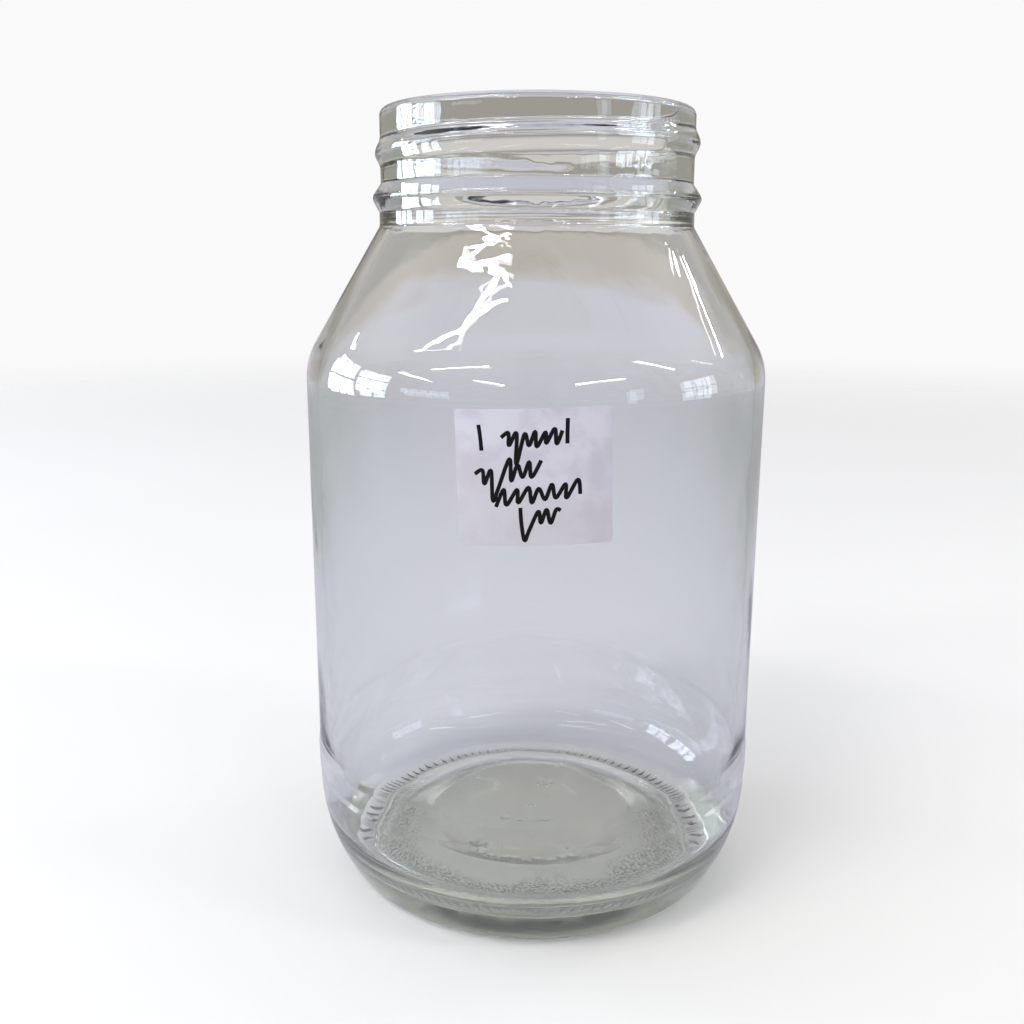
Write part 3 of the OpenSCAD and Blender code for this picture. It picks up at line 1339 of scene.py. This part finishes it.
@dataclass(frozen=True)
class Tube:
    """A long narrow lamp between two aims, as a ceiling fitting shows in the glass."""

    start: Aim
    end: Aim
    thick: float = 0.6
    radiance: float = 60.0
    distance: float = 1.6
    colour: Colour = (1.0, 1.0, 0.97)

    def build(self, target: Vector, name: str) -> bpy.types.Object:
        """Hangs the lamp.

        Args:
            target: where the aims are taken from.
            name: the lamp's name.

        Returns:
            The light object.
        """
        first = target + direction(self.start) * self.distance
        last = target + direction(self.end) * self.distance
        middle = (first + last) / 2
        along = (last - first).normalized()
        away = (middle - target).normalized()
        side = away.cross(along).normalized()
        facing = along.cross(side).normalized()
        length, width = (last - first).length, math.radians(self.thick) * self.distance
        light = bpy.data.lights.new(name, "AREA")
        light.shape = "RECTANGLE"
        light.size, light.size_y = length, width
        light.energy = self.radiance * length * width * math.pi
        light.color = self.colour
        lamp = linked_object(name, light)
        if facing.dot(away) < 0:
            side, facing = -side, -facing
        lamp.matrix_world = Matrix.Translation(middle) @ Matrix((along, side, facing)).transposed().to_4x4()
        return lamp


@dataclass(frozen=True)
class LampRun:
    """Tubes hung end to end through a line of aims."""

    aims: tuple[Aim, ...]
    thick: float = 0.35
    radiance: float = 60.0

    def tubes(self) -> list[Tube]:
        """One tube for each pair of neighbouring aims."""
        return [Tube(a, b, self.thick, self.radiance) for a, b in zip(self.aims, self.aims[1:])]


@dataclass(frozen=True)
class Window:
    """A window of even panes, between two bearings and two lifts."""

    bearings: Point
    lifts: Point
    panes: tuple[int, int] = (2, 2)
    radiance: float = 8.0
    distance: float = 2.0
    bar: float = 0.14
    colour: Colour = (0.74, 0.86, 1.0)

    def tubes(self) -> list[Tube]:
        """The panes as lamps.

        Returns:
            One lamp for each pane.
        """
        across, up = self.panes
        wide = (self.bearings[1] - self.bearings[0]) / across
        tall = (self.lifts[1] - self.lifts[0]) / up
        half = wide * (1 - self.bar) / 2
        made = []
        for i in range(across):
            for j in range(up):
                bearing = self.bearings[0] + wide * (i + 0.5)
                lift = self.lifts[0] + tall * (j + 0.5)
                ends = (bearing - half, lift), (bearing + half, lift)
                made.append(Tube(*ends, tall * (1 - self.bar), self.radiance, self.distance, self.colour))
        return made


@dataclass(frozen=True)
class SoftBox:
    """A large soft lamp that lights the scene and doesn't show in the glass."""

    aim: Aim
    size: float
    radiance: float
    distance: float = 2.4
    colour: Colour = (1.0, 1.0, 1.0)

    def build(self, target: Vector, name: str) -> bpy.types.Object:
        """Hangs the lamp.

        Args:
            target: what it faces.
            name: the lamp's name.

        Returns:
            The light object.
        """
        light = bpy.data.lights.new(name, "AREA")
        light.shape = "DISK"
        light.size = self.size
        light.energy = self.radiance * math.pi * math.pi * self.size**2 / 4
        light.color = self.colour
        lamp = linked_object(name, light)
        away = direction(self.aim)
        turn = away.to_track_quat("Z", "Y").to_matrix().to_4x4()
        lamp.matrix_world = Matrix.Translation(target + away * self.distance) @ turn
        lamp.visible_glossy = False
        lamp.visible_transmission = False
        return lamp


@dataclass
class Studio:
    """The floor, the soft light and the camera.

    The backdrop's colours change with height and with bearing: each pair of numbers is where a step starts
    and ends, as a part of a full unit of direction.
    """

    floor_half: float = 30.0
    floor_drop: float = 0.00005
    backdrop: Colour = (0.95, 0.95, 0.95)
    world_floor: Colour = (0.63, 0.63, 0.69)
    world_low: Colour = (0.52, 0.48, 0.425)
    world_neck: Colour = (0.34, 0.325, 0.285)
    world_side: Colour = (0.31, 0.325, 0.30)
    world_mid: Colour = (0.64, 0.62, 0.59)
    world_high: Colour = (1.05, 1.05, 1.10)
    world_front: Colour = (0.36, 0.36, 0.38)
    low_step: Point = (-0.034, -0.008)
    neck_step: Point = (0.015, 0.045)
    mid_step: Point = (0.16, 0.28)
    side_step: Point = (0.35, 0.85)
    side_share: float = 0.8
    high_step: Point = (0.32, 0.8)
    front_step: Point = (-0.30, 0.25)
    lens: float = 39.02
    sensor: float = 36.0
    distance: float = 0.251
    eye_height: float = 0.1432
    pitch: float = 13.35
    yaw: float = -1.16
    roll: float = 0.25
    target_height: float = 0.09
    floor_finish: PaleSweep = field(default_factory=PaleSweep)
    windows: Sequence[Window] = (
        Window((-119.0, -98.0), (-5.0, 19.0), (3, 2), 12.0),
        Window((-95.0, -76.0), (-2.0, 18.0), (2, 3), 11.0),
        Window((-66.0, -40.0), (2.0, 8.0), (5, 1), 3.0),
        Window((44.0, 52.0), (-2.0, 12.0), (1, 2), 2.5),
        Window((74.0, 96.0), (-3.0, 15.0), (3, 2), 4.0),
    )
    runs: Sequence[LampRun] = (
        LampRun(((-25.5, 60.4), (-41.1, 58.1), (-54.4, 55.0), (-66.4, 51.2)), 0.28),
        LampRun(((-66.4, 51.2), (-53.4, 54.2), (-34.0, 57.4)), 0.26),
        LampRun(((-23.9, 59.3), (-41.1, 56.6), (-20.6, 58.2)), 0.3),
        LampRun(((-31.8, 57.6), (-39.3, 55.6), (-45.8, 53.3), (-51.6, 51.0)), 0.55),
        LampRun(((-51.6, 51.0), (-64.2, 47.3), (-76.1, 42.4)), 0.3),
        LampRun(((-22.5, 57.2), (-35.5, 55.3), (-45.5, 53.0)), 0.3),
        LampRun(((120.4, 27.5), (122.5, 28.4), (119.6, 27.9), (116.4, 26.1), (112.7, 24.1)), 0.7),
        LampRun(((115.5, 32.4), (111.6, 33.2)), 0.6),
        LampRun(((-116.1, 26.5), (-115.2, 25.2)), 1.2),
        LampRun(((-56.0, 33.5), (-26.7, 45.5)), 1.4, 40.0),
        LampRun(((-72.0, 24.7), (-52.7, 20.3)), 1.4, 40.0),
        LampRun(((-30.0, 25.7), (-14.5, 20.5)), 1.2, 40.0),
        LampRun(((19.4, 22.5), (45.9, 26.5)), 1.2, 40.0),
        LampRun(((61.4, 44.2), (75.2, 28.6)), 1.4, 40.0),
    )
    soft_boxes: Sequence[SoftBox] = (
        SoftBox((-40.0, 62.0), 1.6, 0.45),
        SoftBox((60.0, 66.0), 1.6, 0.35),
    )

    def build_floor(self) -> bpy.types.Object:
        """Lays the floor just under the standing ring.

        Returns:
            The floor.
        """
        mesh = bpy.data.meshes.new("floor")
        sides = ((-1, -1), (1, -1), (1, 1), (-1, 1))
        corners = [(x * self.floor_half, y * self.floor_half, -self.floor_drop) for x, y in sides]
        mesh.from_pydata(corners, [], [(0, 1, 2, 3)])
        mesh.materials.append(self.floor_finish.material())
        floor = linked_object("floor", mesh)
        return floor

    def build_world(self) -> None:
        """Fills the room with soft light, brightest above and dim behind the camera."""
        world = bpy.data.worlds.new("studio")
        world.use_nodes = True
        world.node_tree.nodes.clear()
        kit = NodeKit(world.node_tree)
        side, behind, up = kit.axes(kit.term(kit.add("ShaderNodeTexCoord"), "Generated"))
        colour = kit.blend(kit.smooth(up, *self.low_step), self.world_floor, self.world_low)
        colour = kit.blend(kit.smooth(up, *self.neck_step), colour, self.world_neck)
        colour = kit.blend(kit.smooth(up, *self.mid_step), colour, self.world_mid)
        colour = kit.blend(self.side_share * kit.smooth(abs(side), *self.side_step), colour, self.world_side)
        colour = kit.blend(kit.smooth(up, *self.high_step), colour, self.world_high)
        colour = kit.blend(kit.smooth(-behind, *self.front_step), colour, self.world_front)
        seen = kit.term(kit.add("ShaderNodeLightPath"), "Is Camera Ray")
        colour = kit.blend(seen, colour, self.backdrop)
        glow = kit.add("ShaderNodeBackground", sockets={"Color": colour, "Strength": 1.0})
        output = kit.add("ShaderNodeOutputWorld")
        kit.plug(output.inputs["Surface"], glow.outputs[0])
        bpy.context.scene.world = world

    def build_camera(self) -> bpy.types.Object:
        """Stands the camera where the jar is seen from.

        Returns:
            The camera.
        """
        pitch, yaw, roll = (math.radians(a) for a in (self.pitch, self.yaw, self.roll))
        ahead = Vector((math.sin(yaw) * math.cos(pitch), math.cos(yaw) * math.cos(pitch), -math.sin(pitch)))
        level = Vector((math.cos(yaw), -math.sin(yaw), 0.0))
        upward = level.cross(ahead)
        right = level * math.cos(roll) + upward * math.sin(roll)
        top = upward * math.cos(roll) - level * math.sin(roll)
        data = bpy.data.cameras.new("camera")
        data.lens = self.lens
        data.sensor_width = self.sensor
        data.clip_start = 0.01
        data.clip_end = 100.0
        camera = linked_object("camera", data)
        turn = Matrix((right, top, -ahead)).transposed().to_4x4()
        camera.matrix_world = Matrix.Translation((0.0, -self.distance, self.eye_height)) @ turn
        bpy.context.scene.camera = camera
        return camera

    def set_look(self) -> None:
        """Sets plain colour handling and enough light paths for glass inside glass."""
        scene = bpy.context.scene
        scene.view_settings.view_transform = "Standard"
        scene.cycles.max_bounces = 24
        scene.cycles.transmission_bounces = 20
        scene.cycles.glossy_bounces = 8

    def build(self) -> None:
        """Sets up the whole studio."""
        self.build_camera()
        self.build_floor()
        self.build_world()
        target = Vector((0.0, 0.0, self.target_height))
        tubes = [tube for group in (*self.windows, *self.runs) for tube in group.tubes()]
        for i, lamp in enumerate([*tubes, *self.soft_boxes]):
            lamp.build(target, f"lamp_{i:02d}")
        self.set_look()


# ---------------------------------------------------------------- making


def report(piece: bpy.types.Object) -> None:
    """Logs a piece's name and how many triangles it has.

    Args:
        piece: the finished piece.
    """
    piece.data.calc_loop_triangles()
    LOG.info("%s: %d triangles", piece.name, len(piece.data.loop_triangles))


def main() -> None:
    """Builds the studio, the jar and its label in order."""
    logging.basicConfig(level=logging.INFO, format="%(name)s: %(message)s")
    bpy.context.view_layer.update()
    Studio().build()
    report(GlassJar().build())
    for piece in PaperLabel().build():
        report(piece)


if __name__ == "__main__":
    main()
